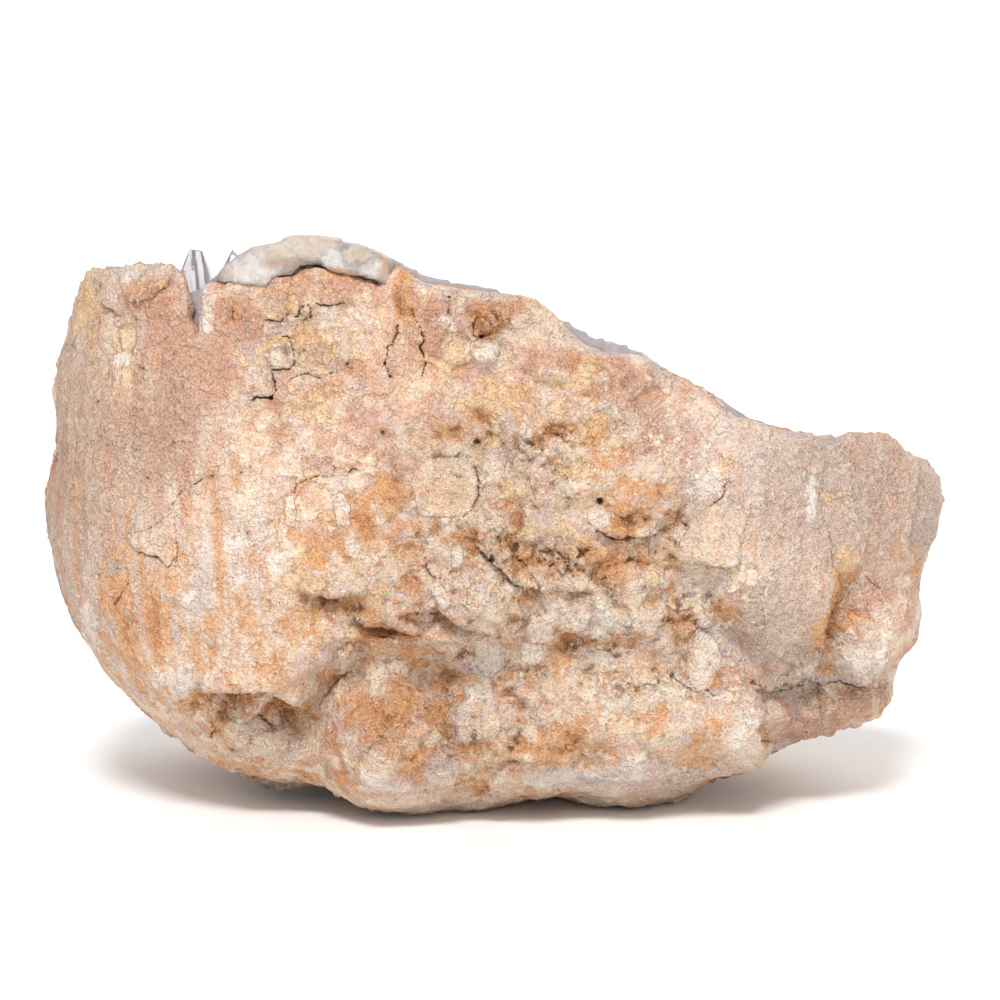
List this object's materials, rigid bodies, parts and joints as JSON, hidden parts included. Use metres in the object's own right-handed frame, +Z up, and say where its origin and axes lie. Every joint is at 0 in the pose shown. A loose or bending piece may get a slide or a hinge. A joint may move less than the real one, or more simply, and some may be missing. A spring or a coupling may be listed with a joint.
{
  "type": "quartz geode",
  "caption": "half of a hollow stone nodule with a weathered, salmon-coloured lime crust, a band of milky quartz inside it, and quartz points growing into the open hollow",
  "frame": {"origin": "on the small natural flat that the stone rests on, near its middle", "axes": "+X to the right along the stone's longest side, +Z up; the tall weathered wall faces -Y and the hollow opens upwards and to +Y"},
  "size_m": [0.2794, 0.1848, 0.1792],
  "materials": {
    "rind": "matte weathered lime crust, with iron stains and cracks",
    "lining": "milky quartz, broken and sugary",
    "crystal": "clear to smoky quartz, natural faces"
  },
  "bodies": {
    "root": {"rind": "rind", "quartz_lining": "lining", "crystal_01": "crystal", "crystal_02": "crystal", "crystal_03": "crystal", "crystal_04": "crystal", "crystal_05": "crystal", "crystal_06": "crystal", "crystal_07": "crystal", "crystal_08": "crystal", "crystal_09": "crystal", "crystal_10": "crystal", "crystal_11": "crystal", "crystal_12": "crystal", "crystal_13": "crystal", "crystal_14": "crystal", "crystal_15": "crystal", "crystal_16": "crystal", "crystal_17": "crystal", "crystal_18": "crystal", "crystal_19": "crystal", "crystal_20": "crystal", "crystal_21": "crystal", "crystal_22": "crystal", "crystal_23": "crystal", "crystal_24": "crystal", "crystal_25": "crystal", "crystal_26": "crystal", "crystal_rim_tall": "crystal", "crystal_rim_short": "crystal"}
  },
  "joints": []
}
